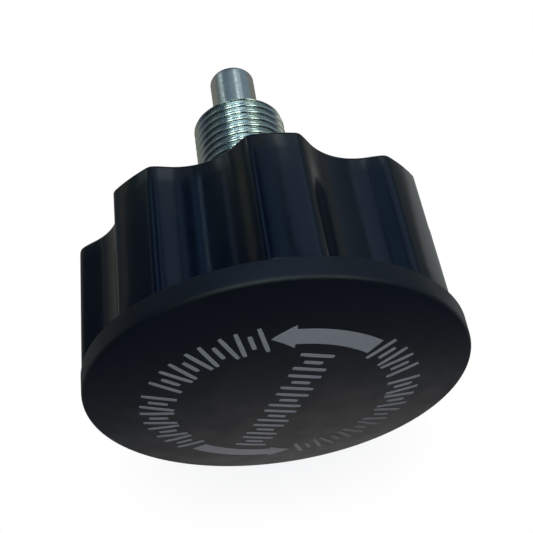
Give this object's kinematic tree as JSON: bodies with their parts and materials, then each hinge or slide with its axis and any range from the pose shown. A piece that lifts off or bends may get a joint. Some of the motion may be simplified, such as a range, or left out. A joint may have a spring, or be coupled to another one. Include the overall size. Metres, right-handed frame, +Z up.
{
  "type": "pull-pin adjusting knob",
  "caption": "Sprung pull-pin adjusting knob: a lobed grip draws a plunger pin back through a threaded barrel to free a sliding tube.",
  "frame": {"origin": "on the pin's axis, in the plane of the barrel's hex shoulder where the thread starts", "axes": "+Y along the pin, out of its nose; +Z up; +X to the right when the capped face is looked at along +Y"},
  "size_m": [0.0578, 0.0673, 0.0578],
  "materials": {
    "moulded_black": "moulded satin-gloss black plastic",
    "cap_black": "fine-textured matt black plastic",
    "grey_ink": "pad-printed pale grey ink",
    "zinc_steel": "bright zinc-plated steel",
    "zinc_steel_pin": "turned and zinc-plated steel",
    "spring_steel": "bare spring steel",
    "brass": "turned brass"
  },
  "bodies": {
    "barrel": {"threaded_barrel": "zinc_steel", "spring_retainer": "spring_steel", "retaining_ring": "spring_steel", "return_spring": "spring_steel"},
    "knob": {"knob_body": "moulded_black", "knob_cap": "cap_black", "print_arrows": "grey_ink", "print_scale_right": "grey_ink", "print_scale_left": "grey_ink", "print_scale_centre": "grey_ink", "hub_insert": "brass", "flat_washer": "zinc_steel", "lock_washer": "spring_steel", "pin_screw": "zinc_steel", "plunger_pin": "zinc_steel_pin"}
  },
  "joints": [
    {"name": "pull_slide", "type": "slide", "parent": "barrel", "child": "knob", "axis": [0, -1, 0], "range_m": [0, 0.0125], "stiffness_N_per_m": 1730, "springref_m": -0.012, "deforming": ["return_spring"]}
  ]
}
